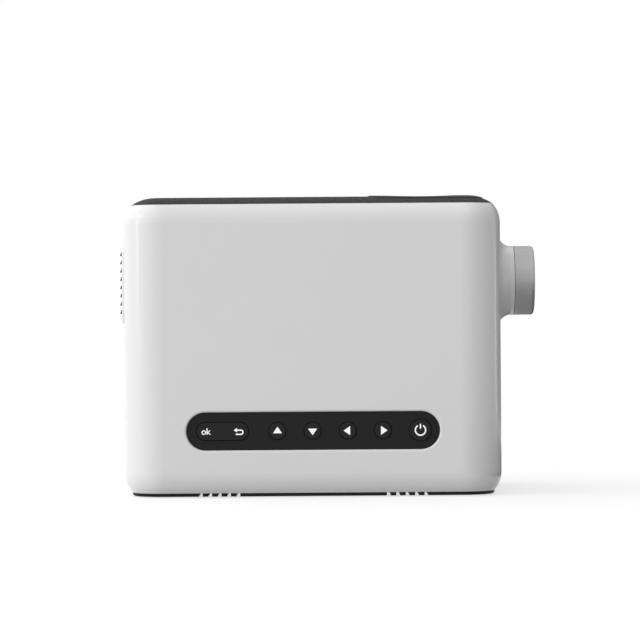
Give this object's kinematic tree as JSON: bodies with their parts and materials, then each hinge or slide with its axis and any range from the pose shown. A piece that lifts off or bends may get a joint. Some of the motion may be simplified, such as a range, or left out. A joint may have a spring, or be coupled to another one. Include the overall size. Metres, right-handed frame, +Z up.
{
  "type": "projector with disc drive",
  "caption": "Upright box projector with a lens and focus ring in front, a key panel on one side, a disc tray in the other and vents and sockets at the rear.",
  "frame": {"origin": "middle of the whole part's outline, from the rear slat tips to the focus ring's front, on the surface that it stands on", "axes": "+X the way the lens looks, -Y the side with the keys, +Y the side with the disc tray, +Z up"},
  "size_m": [0.2358, 0.15, 0.1668],
  "materials": {
    "white_shell": "glossy",
    "black_texture": "fine dotted texture",
    "black_smooth": "satin",
    "black_base": "matt",
    "panel_black": "satin",
    "key_black": "satin",
    "ring_grey": "satin",
    "foot_rubber": "matt",
    "filter_foam": "open foam",
    "thread_brass": "machined",
    "screw_steel": "plated",
    "frame_black": "moulded",
    "barrel_black": "satin",
    "lens_glass": "coated",
    "sheet_lens": "fine grooved",
    "panel_glass": "polarised",
    "circuit_board": "solder mask",
    "switch_steel": "stamped",
    "lamp_board": "metal-core board",
    "sink_metal": "extruded",
    "case_steel": "zinc plated",
    "tray_black": "fine grain",
    "bezel_white": "glossy",
    "turntable_black": "matt",
    "motor_steel": "plated",
    "rod_steel": "ground",
    "sled_zinc": "die cast",
    "pickup_glass": "coated",
    "speaker_black": "pressed basket and cone",
    "port_black": "satin",
    "socket_steel": "plated",
    "window_dark": "dark infrared plastic"
  },
  "bodies": {
    "housing": {"main_shell": "white_shell", "top_cover": "black_texture", "top_inlay": "black_smooth", "base_plate": "black_base", "rear_louvre": "black_base", "control_panel": "panel_black", "rubber_feet": "foot_rubber", "dust_filter": "filter_foam", "tripod_insert": "thread_brass", "base_screws": "screw_steel", "fan_screws": "screw_steel", "board_screws": "screw_steel", "engine_screws": "screw_steel", "drive_screws": "screw_steel", "mid_deck": "frame_black", "engine_cradle": "frame_black", "engine_housing": "frame_black", "fan_frame": "frame_black", "lens_mount": "frame_black", "condenser_lens": "lens_glass", "collimator_lens": "sheet_lens", "field_lens": "sheet_lens", "lcd_panel": "panel_glass", "main_board": "circuit_board", "power_board": "circuit_board", "key_board": "circuit_board", "key_switches": "switch_steel", "led_module": "lamp_board", "heat_sink": "sink_metal", "drive_case": "case_steel", "speakers": "speaker_black", "port_plate": "port_black", "audio_jacks": "port_black", "power_inlet": "port_black", "video_socket": "socket_steel", "data_socket": "socket_steel", "ir_window": "window_dark"},
    "drive_tray": {"disc_tray": "tray_black", "guide_rods": "rod_steel", "spindle_motor": "motor_steel", "sled_motor": "motor_steel", "tray_bezel": "bezel_white"},
    "slide_rails": {"slide_rails": "case_steel"},
    "turntable": {"turntable": "turntable_black"},
    "pickup": {"pickup_sled": "sled_zinc", "pickup_lens": "pickup_glass"},
    "lead_screw": {"lead_screw": "rod_steel"},
    "eject_button": {"eject_button": "bezel_white"},
    "focus_ring": {"focus_ring": "ring_grey"},
    "lens_barrel": {"lens_barrel": "barrel_black", "front_lens": "lens_glass", "rear_lens": "lens_glass"},
    "fan_rotor": {"fan_rotor": "frame_black"},
    "key_ok_back": {"key_ok_back": "key_black"},
    "key_up": {"key_up": "key_black"},
    "key_down": {"key_down": "key_black"},
    "key_left": {"key_left": "key_black"},
    "key_right": {"key_right": "key_black"},
    "key_power": {"key_power": "key_black"}
  },
  "joints": [
    {"name": "tray_slide", "type": "slide", "parent": "housing", "child": "drive_tray", "axis": [0, 1, 0], "range_m": [0, 0.128]},
    {"name": "rails_slide", "type": "slide", "parent": "housing", "child": "slide_rails", "axis": [0, 1, 0], "range_m": [0, 0.064]},
    {"name": "turntable_spin", "type": "hinge", "parent": "drive_tray", "child": "turntable", "pos_m": [-0.0091, 0.0079, 0.054], "axis": [0, 0, 1], "continuous": true},
    {"name": "pickup_slide", "type": "slide", "parent": "drive_tray", "child": "pickup", "axis": [-0.7071, -0.7071, 0], "range_m": [0, 0.034]},
    {"name": "lead_screw_turn", "type": "hinge", "parent": "drive_tray", "child": "lead_screw", "pos_m": [-0.00981, -0.01968, 0.0528], "axis": [-0.7071, -0.7071, 0], "range_deg": [0, 4090]},
    {"name": "eject_press", "type": "slide", "parent": "drive_tray", "child": "eject_button", "axis": [0, -1, 0], "range_m": [0, 0.0008], "stiffness_N_per_m": 800},
    {"name": "focus_turn", "type": "hinge", "parent": "housing", "child": "focus_ring", "pos_m": [0.1109, 0, 0.1198], "axis": [1, 0, 0], "range_deg": [-60, 60]},
    {"name": "barrel_slide", "type": "slide", "parent": "housing", "child": "lens_barrel", "axis": [1, 0, 0], "range_m": [-0.0021, 0.0021]},
    {"name": "fan_spin", "type": "hinge", "parent": "housing", "child": "fan_rotor", "pos_m": [-0.0991, 0, 0.1198], "axis": [1, 0, 0], "continuous": true},
    {"name": "ok_back_rock", "type": "hinge", "parent": "housing", "child": "key_ok_back", "pos_m": [-0.0591, -0.0696, 0.0367], "axis": [0, 0, 1], "range_deg": [-2.4, 2.4], "stiffness_Nm_per_rad": 0.3},
    {"name": "up_press", "type": "slide", "parent": "housing", "child": "key_up", "axis": [0, 1, 0], "range_m": [0, 0.0006], "stiffness_N_per_m": 800},
    {"name": "down_press", "type": "slide", "parent": "housing", "child": "key_down", "axis": [0, 1, 0], "range_m": [0, 0.0006], "stiffness_N_per_m": 800},
    {"name": "left_press", "type": "slide", "parent": "housing", "child": "key_left", "axis": [0, 1, 0], "range_m": [0, 0.0006], "stiffness_N_per_m": 800},
    {"name": "right_press", "type": "slide", "parent": "housing", "child": "key_right", "axis": [0, 1, 0], "range_m": [0, 0.0006], "stiffness_N_per_m": 800},
    {"name": "power_press", "type": "slide", "parent": "housing", "child": "key_power", "axis": [0, 1, 0], "range_m": [0, 0.0006], "stiffness_N_per_m": 800}
  ],
  "couplings": [
    {"joint": "rails_slide", "follows": "tray_slide", "ratio": 0.5},
    {"joint": "lead_screw_turn", "follows": "pickup_slide", "rad_per_m": 2094.4},
    {"joint": "barrel_slide", "follows": "focus_turn", "m_per_rad": 0.0019099}
  ]
}
